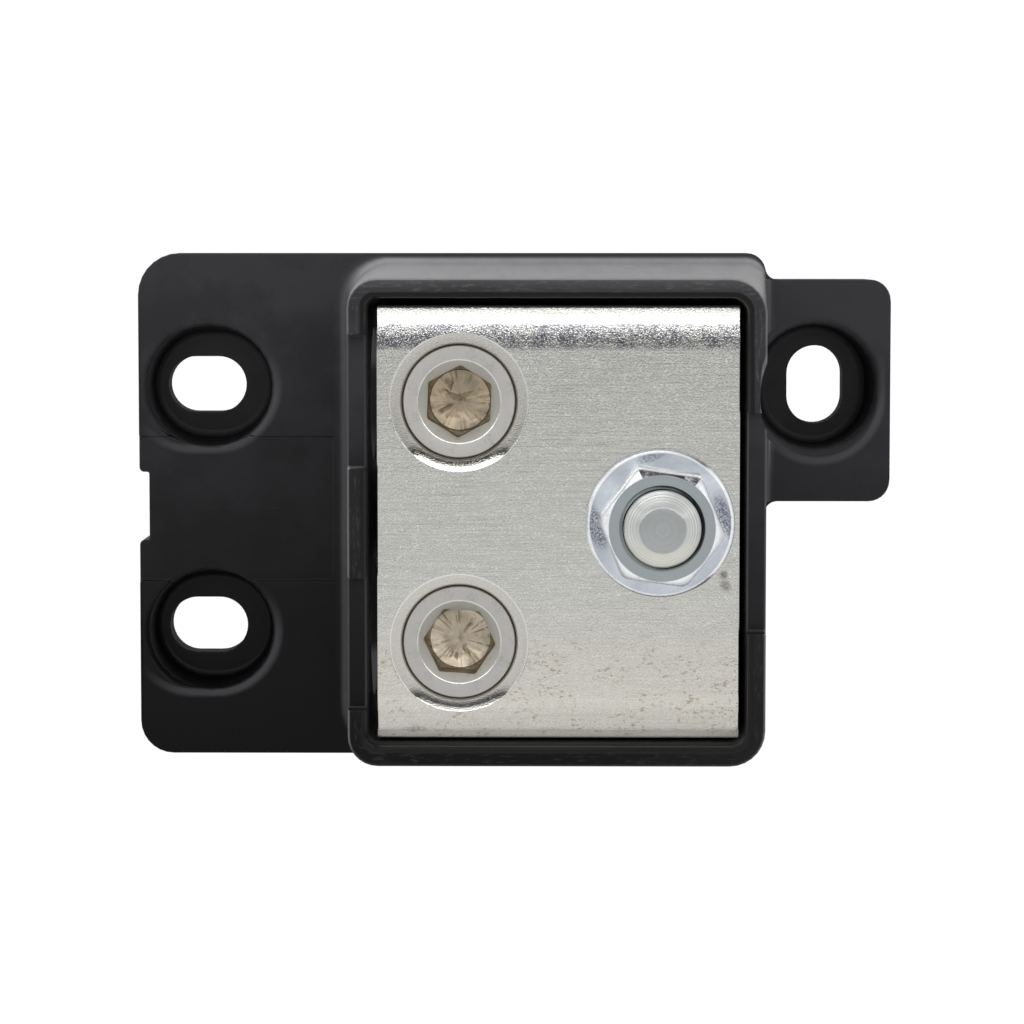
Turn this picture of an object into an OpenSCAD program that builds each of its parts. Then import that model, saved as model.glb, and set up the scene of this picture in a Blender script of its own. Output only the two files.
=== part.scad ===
// Fuse block, stud type: a moulded base with a double wire lug, its wire screws and a fuse stud.
// Frame: origin at the centre of the mounting face, +X along the block, +Y across it, +Z out of the panel.

/* [Base plate] */
// Length of the base over the plate and the ear
base_l = 100; // [96:1:110]
// Thickness of the mounting plate
plate_t = 11; // [8:0.5:13]
// Radius of the plate's upper outer corner
plate_up_r = 5.6; // [2:0.2:8]
// Radius of the plate's lower outer corner
plate_low_r = 4.4; // [2:0.2:8]
// Width of the notch in the plate's outer edge
edge_notch_w = 9.1; // [6:0.1:14]
// Place of the notch across the plate
edge_notch_y = -0.25; // [-1:0.05:1]
// Depth of the notch in the plate's outer edge
edge_notch_d = 1.3; // [0.6:0.1:2.5]
// Depth of the shallow step across the middle of the plate
step_d = 0.3; // [0.1:0.05:0.8]
// Width of the shallow step
step_w = 19.2; // [12:0.2:22]
// Place of the step's middle line across the plate
step_y = -0.6; // [-1.5:0.1:1.5]

/* [Ear] */
// Reach of the ear from the body
ear_l = 16.6; // [15:0.2:20]
// Width of the ear
ear_w = 29.5; // [22:0.1:32]
// Distance from the base's upper edge to the ear
ear_drop = 3.5; // [2:0.1:5]
// Radius of the ear's outer corners
ear_r = 2.8; // [0.5:0.1:4]
// Radius of the inner corners between the ear and the body
ear_root_r = 1.6; // [0.5:0.1:2]

/* [Mounting slots] */
// Width of a slot
slot_w = 7.5; // [5:0.1:8]
// Length of a slot, end to end
slot_l = 10.5; // [8.5:0.1:11]
// Distance across the base between the two plate slots
slot_pitch = 32.6; // [28:0.2:34]
// Distance from the plate's outer edge to its slots
plate_slot_edge = 8.6; // [8.4:0.1:10]
// Distance from the ear's outer edge to its slot
ear_slot_edge = 9.6; // [9.2:0.1:10.4]
// Place of the middle of the three slots, across the base
slots_y = -0.5; // [-0.6:0.1:0.6]
// Floor of the dish round each slot, above the mounting face
dish_floor = 4.5; // [3:0.25:7]
// Offset of the plate's dishes from their slots, towards the middle of the base
dish_inset = 0.9; // [0.6:0.05:1.2]
// Offset of the ear's dish from its slot, towards the middle of the base
ear_dish_inset = 0.4; // [0:0.05:0.8]
// Half width of the dish at its floor
dish_floor_r = 7; // [6:0.1:7.2]
// Half width of the dish at its mouth
dish_mouth_r = 8.2; // [7.5:0.1:8.3]
// Half of what the dish is longer than wide, at its floor
dish_floor_long = 0.8; // [0.2:0.1:1.2]
// Half of what the dish is longer than wide, at its mouth
dish_mouth_long = 0.2; // [0.1:0.05:0.4]
// Fillet at the floor and at the mouth of the dish
dish_fillet = 1.1; // [0.5:0.1:1.2]
// Clearance past the mouth of the ear's dish for a driver, up the side of the body
driver_gap = 1; // [0.5:0.05:1.2]

/* [Body] */
// Height of the rim above the mounting face
rim_z = 44; // [38:0.5:56]
// Thickness of the upper and lower wall at the rim
wall = 2.5; // [1.8:0.1:3.2]
// Thickness of the two end walls at the rim
end_wall = 2.3; // [1.8:0.1:3.2]
// Draft of the outer wall, in degrees
draft = 3; // [1:0.1:3.8]
// Draft of the pocket wall, in degrees
pocket_draft = 0.5; // [0:0.1:0.8]
// Radius of the body's corners at the rim
rim_corner_r = 3.7; // [2.8:0.1:5]
// Radius of the body's two corners beside the ear, at the rim
rim_ear_r = 4.5; // [3:0.1:6]
// Radius of the body's two corners on the plate, at the foot
foot_plate_r = 6; // [2:0.1:8]
// Radius of the body's two corners beside the ear, at the foot
foot_ear_r = 2.6; // [1.5:0.1:3]
// Rounding of the rim's outer edge
rim_round_out = 0.5; // [0.2:0.05:0.8]
// Rounding of the rim's inner edge
rim_round_in = 1; // [0.4:0.05:1.2]
// Fillet between the body and the plate
root_fillet = 1.3; // [0.5:0.1:1.6]
// Reach of that fillet on the plate, at the left wall
end_fillet = 1.9; // [0.5:0.1:2.4]
// Thickness of the floor under the lug
floor_t = 12.4; // [10:0.2:14]
// Gap between the lug and the pocket wall at the floor, along the base
pocket_gap_x = 0.8; // [0.5:0.05:1.4]
// Gap between the lug and the pocket wall at the floor, across the base
pocket_gap_y = 0.54; // [0.4:0.02:1.2]
// Depth of the notches in the rim over the wire ports
port_notch_d = 2.5; // [1.2:0.1:3]
// Width of the notches in the rim over the wire ports
port_notch_w = 16.4; // [10:0.2:22]
// Width of the notch in the rim for the fuse's blade
blade_notch_w = 27.4; // [20:0.2:32]
// Step of the fuse blade's notch below the top of the lug
blade_notch_drop = 0.4; // [0.2:0.1:1.5]
// Clearance of the wire ports round the wire bores
port_gap = 0.9; // [0.4:0.1:1.2]

/* [Lug] */
// Length of the lug along the base
lug_l = 45.3; // [43:0.1:47]
// Width of the lug
lug_w = 54.2; // [52:0.2:55]
// Height of the lug
lug_h = 28.6; // [26:0.2:32]
// Width of the rounded shoulder along the lug's long edges
shoulder_w = 5.7; // [3:0.1:6]
// Radius of the shoulder
shoulder_r = 24; // [14:0.5:40]
// Radius of the lug's long corners
lug_edge_r = 0.4; // [0.2:0.1:1.5]
// Offset of the lug in its pocket, along the base
lug_off_x = 0.2; // [-0.4:0.05:0.4]
// Offset of the lug in its pocket, across the base
lug_off_y = -0.15; // [-0.3:0.05:0.3]
// Diameter of the wire bores
wire_d = 15.5; // [14.5:0.1:15.7]
// Metal left under the wire bores
wire_floor = 3.4; // [2.5:0.1:3.5]
// Depth of the wire bores past their screws
wire_past = 8.5; // [6:0.5:12]
// Distance from the lug's long sides to the wire bores' axes
wire_edge = 12; // [11.5:0.1:13]

/* [Wire screws] */
// Diameter of the wire screws
wscrew_d = 14.29; // [12:0.01:14.5]
// Length of a wire screw
wscrew_l = 8.2; // [7.4:0.1:8.3]
// Distance from the lug's wire face to the wire screws
wscrew_inset = 10.25; // [9.5:0.05:12]
// Depth of the wire screws below the top of the lug
wscrew_sink = 1.3; // [0.5:0.1:2]
// Width across flats of the socket
socket_af = 7.94; // [6:0.01:8]
// Depth of the socket
socket_d = 5.6; // [4.5:0.1:6]
// Width of the dished lead-in round the socket
socket_lead = 1.2; // [0.8:0.05:1.4]
// Width of the countersink round the tapped hole
wsink_w = 1.5; // [0.5:0.1:1.8]
// Turn of the upper screw's socket, in degrees
socket_turn_up = 28; // [0:1:59]
// Turn of the lower screw's socket, in degrees
socket_turn_low = 56; // [0:1:59]

/* [Fuse stud and nut] */
// Diameter of the stud
stud_d = 9.53; // [8:0.01:10.5]
// Length of the stud above the lug
stud_out = 11.2; // [10.5:0.1:18]
// Length of the stud in the lug
stud_in = 13.5; // [11:0.5:14]
// Distance from the lug's fuse face to the stud
stud_inset = 9.95; // [9.5:0.05:12]
// Diameter of the flat at the stud's tip
stud_tip_d = 5.4; // [3:0.1:6]
// Height of the chamfer at the stud's tip
stud_tip_h = 1.5; // [0.8:0.1:2]
// Width across flats of the nut
nut_af = 13.9; // [12.5:0.05:15.5]
// Height of the nut
nut_h = 8.8; // [7:0.1:10]
// Diameter of the nut's flange
flange_d = 18.6; // [17.6:0.05:19.4]
// Thickness of the flange at its edge
flange_t = 1.3; // [0.8:0.1:1.8]
// Turn of the nut, in degrees
nut_turn = 52; // [0:1:59]

/* [Lug screws] */
// Diameter of the lug screws
lscrew_d = 6.35; // [5:0.05:7]
// Reach of a lug screw into the lug
lscrew_in = 9; // [7:0.5:10]
// Diameter of a lug screw's head
lhead_d = 10.2; // [9:0.1:11]
// Height of a lug screw's head
lhead_h = 4.2; // [3:0.1:5]
// Depth of the counterbore for the head
cbore_h = 8; // [7:0.25:9]
// Width of the hex socket in the head
lkey_af = 4.76; // [3:0.01:5]
// Thickness of the lock washers
washer_t = 1.6; // [1:0.1:2]
// Distance of the left lug screw from the lug's wire face
lscrew_inset = 12.6; // [11:0.2:16]

/* [Fits] */
// Radial clearance of a screw in its thread
thread_gap = 0.05; // [0.02:0.01:0.1]
// Radial clearance of a lug screw in the floor
hole_gap = 0.3; // [0.1:0.05:0.5]
// Radial clearance of a lock washer on its screw
washer_gap = 0.2; // [0.05:0.05:0.3]
// Radial clearance of a screw head in its counterbore
head_gap = 1.2; // [0.5:0.1:1.5]

/* [Hidden] */

eps = 0.02;               // overlap of cuts past the faces that they open
round_fn = 72;            // facets on round features that stay true circles
arc_n = 7;                // steps of a corner or a fillet
left_x = -base_l / 2;
right_x = base_l / 2;

// The lug stands on the pocket floor, and the body is built round it
ear_x = right_x - ear_l;                            // the body's foot on the ear side
top_z = floor_t + lug_h;                            // top of the lug
pocket_h = rim_z - floor_t;
pocket_grow = pocket_h * tan(pocket_draft);
wall_lean = (rim_z - plate_t) * tan(draft);
rim_x1 = ear_x - wall_lean;                         // outer faces at the rim
pocket_x1 = rim_x1 - end_wall;                      // pocket faces at the rim
pocket_l = lug_l + 2 * (pocket_gap_x + pocket_grow);
pocket_w = lug_w + 2 * (pocket_gap_y + pocket_grow);
pocket_x0 = pocket_x1 - pocket_l;
rim_x0 = pocket_x0 - end_wall;
rim_half_w = pocket_w / 2 + wall;
body_x0 = rim_x0 - wall_lean;                       // foot of the left wall, before its fillet
half_w = rim_half_w + wall_lean + root_fillet;      // sides of the base, flush with the body's fillet

lug_x = (pocket_x0 + pocket_x1) / 2 + lug_off_x;    // centre of the lug
lug_y = lug_off_y;
lug_x0 = lug_x - lug_l / 2;
lug_x1 = lug_x + lug_l / 2;
wire_pitch = lug_w - 2 * wire_edge;
wire_z = floor_t + wire_floor + wire_d / 2;
wscrew_x = lug_x0 + wscrew_inset;
wscrew_z = top_z - wscrew_sink - wscrew_l;          // lower end of a wire screw
wire_l = wscrew_inset + wscrew_d / 2 + wire_past;   // depth of a wire bore
stud_x = lug_x1 - stud_inset;
lscrew_x = [lug_x0 + lscrew_inset, stud_x];
lscrew_tip = floor_t + lscrew_in;
cbore_d = lhead_d + 2 * head_gap;

// The slots: two on the plate and one on the ear, in line with the plate's upper one
slot_x = [left_x + plate_slot_edge, right_x - ear_slot_edge];
slot_y = [slots_y + slot_pitch / 2, slots_y - slot_pitch / 2];
ear_y0 = half_w - ear_drop - ear_w;

// Points of an arc about c from angle a to angle b
function arc(c, r, a, b, n = arc_n) =
    [for (i = [0:n]) let (t = a + (b - a) * i / n) [c[0] + r * cos(t), c[1] + r * sin(t)]];

// A rounded rectangle from (x0, y0) to (x1, y1), counter-clockwise: radius q at x1 and r at x0
function rounded(x0, y0, x1, y1, r, q) = concat(
    arc([x1 - q, y1 - q], q, 0, 90), arc([x0 + r, y1 - r], r, 90, 180),
    arc([x0 + r, y0 + r], r, 180, 270), arc([x1 - q, y0 + q], q, 270, 360));

// The skin of the body from its foot over the rim into the pocket: each entry is [inset, height],
// and the inset is measured inwards from the rim's outer face
function outer_skin() = concat(
    [[-wall_lean - root_fillet, 0], [-wall_lean - root_fillet, plate_t]],
    [for (i = [1:4]) let (t = 90 * i / 5)
        [-wall_lean - root_fillet * (1 - sin(t)), plate_t + root_fillet * (1 - cos(t))]],
    [[-(rim_z - plate_t - root_fillet) * tan(draft), plate_t + root_fillet]],
    [for (i = [0:4]) let (t = 90 * i / 4)
        [rim_round_out * (1 - cos(t)), rim_z - rim_round_out * (1 - sin(t))]]);
function pocket_skin() = concat(
    [for (i = [0:5]) let (t = 90 * i / 5)
        [wall - rim_round_in * (1 - sin(t)), rim_z - rim_round_in * (1 - cos(t))]],
    [[wall + pocket_grow, floor_t]]);

// One ring of the body at an inset from the outer rim: the foot on the ear side has no fillet
function ring(inset, z) =
    let (inner = max(0, min(1, (inset - rim_round_out) / (wall - rim_round_in - rim_round_out))),
         along = inset - inner * (wall - end_wall),
         left = along + min(0, inset + wall_lean) * (end_fillet / root_fillet - 1),
         right = max(along, -wall_lean),
         up = max(0, z - plate_t) / (rim_z - plate_t))
    [for (p = rounded(rim_x0 + left, -rim_half_w + inset, rim_x1 - right, rim_half_w - inset,
                      corner(rim_corner_r, foot_plate_r, inset, up), corner(rim_ear_r, foot_ear_r, inset, up)))
        [p[0], p[1], z]];

// Radius of a corner of the body: it changes from the foot to the rim, and shrinks into the pocket
function corner(rim_r, foot_r, inset, up) =
    inset > 0 ? max(rim_r - inset, 0.8) : foot_r + (rim_r - foot_r) * up;

// A closed solid through a list of rings that all have the same number of points
module loft(rings) {
    n = len(rings[0]);
    k = len(rings);
    points = [for (one = rings) each one];
    sides = [for (j = [0:k - 2], i = [0:n - 1]) let (m = (i + 1) % n)
        [j * n + i, (j + 1) * n + i, (j + 1) * n + m, j * n + m]];
    polyhedron(points, concat([[for (i = [0:n - 1]) i]], sides,
        [[for (i = [n - 1:-1:0]) (k - 1) * n + i]]), convexity = 6);
}

// A slotted solid: the profile [radius, height] swept round a slot of half length `half` along X
module stadium(profile, half) {
    for (s = [-1, 1])
        translate([s * half, 0, 0]) rotate([0, 0, s > 0 ? -90 : 90])
            rotate_extrude(angle = 180, $fn = round_fn) polygon(profile);
    flat = concat(profile, [for (i = [len(profile) - 1:-1:0]) [-profile[i][0], profile[i][1]]]);
    translate([-half, 0, 0]) rotate([90, 0, 90]) linear_extrude(2 * half) polygon(flat);
}

// One ring of a dish: an outline with round ends, longer along X by twice `long`
function long_ring(r, long, z) =
    [for (p = concat(arc([long, 0], r, -90, 90, 14), arc([-long, 0], r, 90, 270, 14))) [p[0], p[1], z]];

// The dish round a slot: a steep wall with a fillet at the floor and one at the mouth
module dish_cut() {
    slope = atan2(plate_t - dish_floor, dish_mouth_r - dish_floor_r);
    set_in = dish_fillet * tan(slope / 2);
    low = arc([dish_floor_r - set_in, dish_floor + dish_fillet], dish_fillet, -90, slope - 90, 5);
    high = arc([dish_mouth_r + set_in, plate_t - dish_fillet], dish_fillet, slope + 90, 90, 5);
    rows = concat(low, high, [[high[5][0], plate_t + 1]]);
    loft([for (row = rows) let (up = min(1, (row[1] - dish_floor) / (plate_t - dish_floor)))
        long_ring(row[0], dish_floor_long + (dish_mouth_long - dish_floor_long) * up, row[1])]);
}

// A through slot, long along X
module slot_cut() {
    stadium([[0, -eps], [slot_w / 2, -eps], [slot_w / 2, dish_floor + 0.5], [0, dish_floor + 0.5]],
            (slot_l - slot_w) / 2);
}

// The plate with its ear: one outline with an edge notch and rounded corners
module plate_outline() {
    up_y = edge_notch_y + edge_notch_w / 2;
    low_y = edge_notch_y - edge_notch_w / 2;
    nr = edge_notch_d / 2;
    polygon(concat(
        arc([left_x + plate_up_r, half_w - plate_up_r], plate_up_r, 90, 180),
        arc([left_x + nr, up_y + nr], nr, 180, 270),
        [[left_x + edge_notch_d, up_y]],
        [[left_x + edge_notch_d, low_y]],
        arc([left_x + nr, low_y - nr], nr, 90, 180),
        arc([left_x + plate_low_r, -half_w + plate_low_r], plate_low_r, 180, 270),
        [[rim_x0 + wall + rim_corner_r, -half_w], [rim_x0 + wall + rim_corner_r, half_w]]));
    // The ear, with its upper inner corner run into the round corner of the body
    ear_top = half_w - ear_drop;
    low = [ear_x - foot_ear_r, half_w - foot_ear_r];
    dy = ear_top + ear_root_r - low[1];
    dx = sqrt(pow(foot_ear_r + ear_root_r, 2) - dy * dy);
    polygon(concat(
        [[ear_x - wall - foot_ear_r, low[1]], low],
        arc(low + [dx, dy], ear_root_r, 180 + atan2(dy, dx), 270),
        arc([right_x - ear_r, ear_top - ear_r], ear_r, 90, 0),
        arc([right_x - ear_r, ear_y0 + ear_r], ear_r, 0, -90),
        arc([ear_x + ear_root_r, ear_y0 - ear_root_r], ear_root_r, 90, 180),
        [[ear_x - wall - foot_ear_r, ear_y0 - ear_root_r]]));
}

// The moulded base
module base_housing() {
    color([0.13, 0.13, 0.14])
    difference() {
        union() {
            linear_extrude(plate_t) plate_outline();
            loft([for (s = concat(outer_skin(), pocket_skin())) ring(s[0], s[1])]);
            // Fillet between the ear and the body
            translate([0, ear_y0 + ear_w, 0]) rotate([90, 0, 0]) linear_extrude(ear_w)
                polygon(concat([[ear_x - 1, plate_t - eps]],
                    arc([ear_x + root_fillet, plate_t + root_fillet], root_fillet, 270, 180 - draft),
                    [[ear_x - 1, plate_t + root_fillet]]));
        }
        // Shallow step across the plate, up to the fillet of the wall
        translate([left_x - eps, step_y - step_w / 2, plate_t - step_d])
            cube([body_x0 - end_fillet - left_x + eps, step_w, step_d + eps]);
        // Mounting slots in their dishes
        for (y = slot_y) {
            translate([slot_x[0], y, 0]) slot_cut();
            translate([slot_x[0] + dish_inset, y, 0]) dish_cut();
        }
        translate([slot_x[1], slot_y[0], 0]) rotate([0, 0, 90]) slot_cut();
        translate([slot_x[1] - ear_dish_inset, slot_y[0], 0]) rotate([0, 0, 90]) dish_cut();
        // Room for a driver beside the ear's slot
        translate([slot_x[1] - ear_dish_inset, slot_y[0], plate_t]) rotate([0, 0, 90])
            stadium([[0, 0], [dish_mouth_r + driver_gap, 0], [dish_mouth_r + driver_gap, rim_z], [0, rim_z]],
                    dish_mouth_long);
        // Wire ports, and the notches over them
        for (s = [-1, 1]) {
            translate([body_x0 - end_fillet - eps, s * wire_pitch / 2, wire_z]) rotate([0, 90, 0])
                cylinder(d = wire_d + 2 * port_gap, h = lug_x0 - body_x0 + end_fillet + eps, $fn = round_fn);
            translate([rim_x0 - wall_lean, s * wire_pitch / 2 - port_notch_w / 2, rim_z - port_notch_d])
                cube([lug_x - rim_x0, port_notch_w, port_notch_d + eps]);
        }
        // Notch for the fuse's blade
        translate([lug_x, -blade_notch_w / 2, top_z - blade_notch_drop])
            cube([ear_x - lug_x, blade_notch_w, rim_z - top_z + blade_notch_drop + eps]);
        // Holes and counterbores of the lug screws
        for (x = lscrew_x)
            translate([x, lug_y, 0]) {
                translate([0, 0, -eps]) cylinder(d = cbore_d, h = cbore_h + eps, $fn = round_fn);
                cylinder(d = lscrew_d + 2 * hole_gap, h = floor_t + eps, $fn = round_fn);
            }
    }
}

// The right half of the lug's upper profile: a wide shoulder that runs into a small corner
function shoulder() =
    let (turn = asin((shoulder_w - lug_edge_r) / (shoulder_r - lug_edge_r)),
         low = [lug_w / 2 - shoulder_w, lug_h - shoulder_r],
         tip = low + (shoulder_r - lug_edge_r) * [sin(turn), cos(turn)])
    concat(arc(tip, lug_edge_r, 0, 90 - turn), arc(low, shoulder_r, 90 - turn, 90, 10));

// The extruded lug's profile, counter-clockwise, the same above and below
function lug_profile() =
    let (one = shoulder(),
         upper = concat(one, [for (i = [len(one) - 1:-1:0]) [-one[i][0], one[i][1]]]),
         lower = [for (i = [len(upper) - 1:-1:0]) [upper[i][0], lug_h - upper[i][1]]])
    concat(upper, lower);

// The extruded lug: a bar with rounded shoulders, cut off square
module terminal_lug() {
    tapped = wscrew_d + 2 * thread_gap;
    color([0.78, 0.77, 0.74])
    difference() {
        translate([lug_x0, lug_y, floor_t]) rotate([90, 0, 90]) linear_extrude(lug_l)
            polygon(lug_profile());
        for (s = [-1, 1]) {
            // Wire bore, blind past its screw
            translate([lug_x0 - eps, lug_y + s * wire_pitch / 2, wire_z]) rotate([0, 90, 0])
                cylinder(d = wire_d, h = wire_l + eps, $fn = round_fn);
            // Tapped hole down into the bore, and its countersink
            translate([wscrew_x, lug_y + s * wire_pitch / 2, 0]) {
                translate([0, 0, wire_z]) cylinder(d = tapped, h = top_z - wire_z + eps, $fn = round_fn);
                translate([0, 0, top_z - wsink_w])
                    cylinder(d1 = tapped, d2 = tapped + 2 * (wsink_w + eps), h = wsink_w + eps, $fn = round_fn);
            }
        }
        // Tapped hole of the stud
        translate([stud_x, lug_y, top_z - stud_in])
            cylinder(d = stud_d + 2 * thread_gap, h = stud_in + eps, $fn = round_fn);
        // Tapped holes of the lug screws
        for (x = lscrew_x)
            translate([x, lug_y, floor_t - eps])
                cylinder(d = lscrew_d + 2 * thread_gap, h = lscrew_in + 1 + eps, $fn = round_fn);
    }
}

// A socket set screw, from its lower end at the origin
module wire_screw(turn) {
    r = wscrew_d / 2;
    key_r = socket_af / 2 / cos(30);
    lead_z = wscrew_l - socket_lead * tan(30);
    difference() {
        rotate_extrude($fn = round_fn)
            polygon([[0, 0], [r - 2.2, 0], [r - 0.8, 0.5], [r, 1.3], [r, wscrew_l - 0.4],
                     [r - 0.4, wscrew_l], [0, wscrew_l]]);
        translate([0, 0, wscrew_l - socket_d]) rotate([0, 0, turn])
            cylinder(r = key_r, h = socket_d + eps, $fn = 6);
        // Drill point under the hex
        translate([0, 0, wscrew_l - socket_d - 0.8])
            cylinder(d1 = 2, d2 = socket_af - 0.4, h = 0.8 + eps, $fn = round_fn);
        // Lead-in of the socket
        translate([0, 0, lead_z])
            cylinder(r1 = key_r - 0.4, r2 = key_r + socket_lead - 0.4 + eps, h = wscrew_l - lead_z + eps,
                     $fn = round_fn);
    }
}

module wire_screw_upper() {
    color([0.72, 0.7, 0.64])
    translate([wscrew_x, lug_y + wire_pitch / 2, wscrew_z]) wire_screw(socket_turn_up);
}

module wire_screw_lower() {
    color([0.72, 0.7, 0.64])
    translate([wscrew_x, lug_y - wire_pitch / 2, wscrew_z]) wire_screw(socket_turn_low);
}

// The stud: chamfered at both ends
module fuse_stud() {
    color([0.66, 0.7, 0.73])
    translate([stud_x, lug_y, top_z - stud_in])
        rotate_extrude($fn = round_fn)
            polygon([[0, 0.2], [stud_d / 2 - 1, 0.2], [stud_d / 2, 1.2], [stud_d / 2, stud_in + stud_out - stud_tip_h],
                     [stud_tip_d / 2, stud_in + stud_out], [0, stud_in + stud_out]]);
}

// The flange nut: a chamfered hexagon on a flange that slopes up to it
module flange_nut() {
    hex_r = nut_af / 2 / cos(30);
    bore = stud_d / 2 + thread_gap;
    rise = (flange_d / 2 - nut_af / 2) * tan(28);
    color([0.72, 0.77, 0.83])
    translate([stud_x, lug_y, top_z]) rotate([0, 0, nut_turn])
    difference() {
        union() {
            rotate_extrude($fn = round_fn)
                polygon([[0, 0], [flange_d / 2 - 0.3, 0], [flange_d / 2, 0.3], [flange_d / 2, flange_t - 0.4],
                         [flange_d / 2 - 0.4, flange_t], [nut_af / 2 - 1, flange_t + rise], [0, flange_t + rise]]);
            intersection() {
                cylinder(r = hex_r, h = nut_h, $fn = 6);
                // The chamfer that rounds off the hexagon's top corners
                rotate_extrude($fn = round_fn)
                    polygon([[0, 0], [hex_r + 1, 0], [hex_r + 1, nut_h - (hex_r + 1 - nut_af / 2 + 0.3) * tan(30)],
                             [nut_af / 2 - 0.3, nut_h], [0, nut_h]]);
            }
        }
        translate([0, 0, -eps]) cylinder(r = bore, h = nut_h + 2 * eps, $fn = round_fn);
        // Countersinks of the thread
        translate([0, 0, nut_h - 0.6]) cylinder(r1 = bore, r2 = bore + 0.6 + eps, h = 0.6 + eps, $fn = round_fn);
        translate([0, 0, -eps]) cylinder(r1 = bore + 0.6 + eps, r2 = bore, h = 0.6 + eps, $fn = round_fn);
    }
}

// A socket head screw that holds the lug down, head towards the mounting face
module lug_screw(x) {
    head_z = cbore_h - washer_t - lhead_h;
    translate([x, lug_y, head_z])
    difference() {
        rotate_extrude($fn = round_fn)
            polygon([[0, 0], [lhead_d / 2 - 0.5, 0], [lhead_d / 2, 0.5], [lhead_d / 2, lhead_h],
                     [lscrew_d / 2, lhead_h], [lscrew_d / 2, lscrew_tip - head_z - 0.8],
                     [lscrew_d / 2 - 0.8, lscrew_tip - head_z], [0, lscrew_tip - head_z]]);
        translate([0, 0, -eps]) cylinder(r = lkey_af / 2 / cos(30), h = lhead_h * 0.6, $fn = 6);
    }
}

module lug_screw_left() {
    color([0.6, 0.62, 0.64]) lug_screw(lscrew_x[0]);
}

module lug_screw_right() {
    color([0.6, 0.62, 0.64]) lug_screw(lscrew_x[1]);
}

// A spring lock washer, split on one side
module lock_washer(x) {
    split = 1;
    inner = lscrew_d / 2 + washer_gap;
    outer = lhead_d / 2 + 0.3;
    translate([x, lug_y, cbore_h - washer_t])
    difference() {
        cylinder(r = outer, h = washer_t, $fn = round_fn);
        translate([0, 0, -eps]) cylinder(r = inner, h = washer_t + 2 * eps, $fn = round_fn);
        translate([0, -split / 2, -eps]) cube([outer + eps, split, washer_t + 2 * eps]);
    }
}

module lock_washer_left() {
    color([0.5, 0.5, 0.5]) lock_washer(lscrew_x[0]);
}

module lock_washer_right() {
    color([0.5, 0.5, 0.5]) lock_washer(lscrew_x[1]);
}

base_housing();
terminal_lug();
wire_screw_upper();
wire_screw_lower();
fuse_stud();
flange_nut();
lug_screw_left();
lug_screw_right();
lock_washer_left();
lock_washer_right();
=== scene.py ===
# %% [markdown]
# # Dressing a stud type fuse block
# The block is a black moulding with a pocket. In the pocket sits a tin-plated aluminium lug, with two socket
# set screws that clamp the wires and a stud with a flange nut that holds the fuse's blade. The packed frame
# brings the plain solids at their real size. This lesson gives each of them its finish, and turns the screws,
# the stud and the nut anew with real threads.

# %% The frame
import math

import bmesh
import bpy
from mathutils import Matrix, Vector


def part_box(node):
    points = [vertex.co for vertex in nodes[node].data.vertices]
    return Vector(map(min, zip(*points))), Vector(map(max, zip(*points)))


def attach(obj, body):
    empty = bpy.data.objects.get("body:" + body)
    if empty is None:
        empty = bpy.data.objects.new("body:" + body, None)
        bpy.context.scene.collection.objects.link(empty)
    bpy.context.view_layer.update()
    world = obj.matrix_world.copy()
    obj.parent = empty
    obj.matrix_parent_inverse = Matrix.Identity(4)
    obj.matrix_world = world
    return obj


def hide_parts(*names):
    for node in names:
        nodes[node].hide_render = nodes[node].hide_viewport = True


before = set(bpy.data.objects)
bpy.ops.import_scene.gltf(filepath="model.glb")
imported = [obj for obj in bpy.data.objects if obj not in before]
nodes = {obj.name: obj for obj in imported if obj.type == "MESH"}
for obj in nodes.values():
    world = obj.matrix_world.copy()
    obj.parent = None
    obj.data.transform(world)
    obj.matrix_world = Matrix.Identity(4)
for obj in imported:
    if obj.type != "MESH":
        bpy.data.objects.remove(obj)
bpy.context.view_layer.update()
MM = 0.001
print("nodes:", ", ".join(sorted(nodes)))

# %% [markdown]
# ## The camera
# The photograph looks down on the block from about half a metre, from a little above its upper edge, so the
# upper wall shows a strip of its outer face. A long lens from that place gives the same perspective: the rim
# looks a few percent larger than the plate. The lens follows from one measure, the pixels per millimetre.

# %% Camera
PLATE_TOP = 11 * MM
EYE = Vector((4.8 * MM, 33.8 * MM, PLATE_TOP + 470 * MM))
AIM = Vector((-0.25 * MM, -1.0 * MM, PLATE_TOP))
PIXELS_PER_MM = 7.5
FRAME_PIXELS = 1024

lens = bpy.data.cameras.new("camera")
lens.sensor_width = 36
lens.lens = PIXELS_PER_MM * (EYE - AIM).length / MM * lens.sensor_width / FRAME_PIXELS
lens.clip_start = 0.01
camera = bpy.data.objects.new("camera", lens)
camera.location = EYE
back = (EYE - AIM).normalized()
right = Vector((0, 1, 0)).cross(back).normalized()
camera.rotation_euler = Matrix((right, back.cross(right), back)).transposed().to_euler()
bpy.context.scene.collection.objects.link(camera)
bpy.context.scene.camera = camera
print("lens in mm:", round(lens.lens, 1))

# %% [markdown]
# ## Shader sums in Python
# A material is a sum over masks and noises, and it reads best as one. The class below wraps an output socket,
# and its operators add Math nodes. Any other node comes from `node`, which sets the node's own settings
# first and then fills its sockets with numbers or links.

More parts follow.
